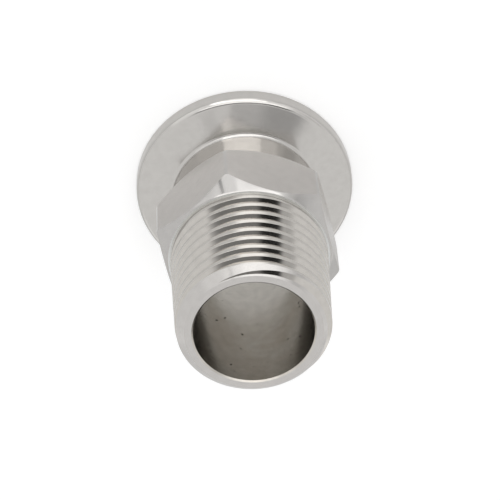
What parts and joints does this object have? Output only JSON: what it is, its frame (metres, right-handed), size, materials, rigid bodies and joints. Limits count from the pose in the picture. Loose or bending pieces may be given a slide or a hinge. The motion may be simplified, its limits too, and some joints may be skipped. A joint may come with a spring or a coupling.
{
  "type": "vacuum flange threaded adapter",
  "caption": "One-piece steel adapter with a small clamp flange, a chamfered hexagon, a male taper pipe thread and a straight through bore.",
  "frame": {"origin": "centre of the sealing face, on the axis; the part stands on this face", "axes": "+Z along the axis from the sealing face to the threaded end; two flats of the hexagon face +X and -X"},
  "size_m": [0.03, 0.03, 0.0349],
  "materials": {
    "stainless_steel": "bright turned and milled stainless steel"
  },
  "bodies": {
    "root": {"adapter_body": "stainless_steel"}
  },
  "joints": []
}
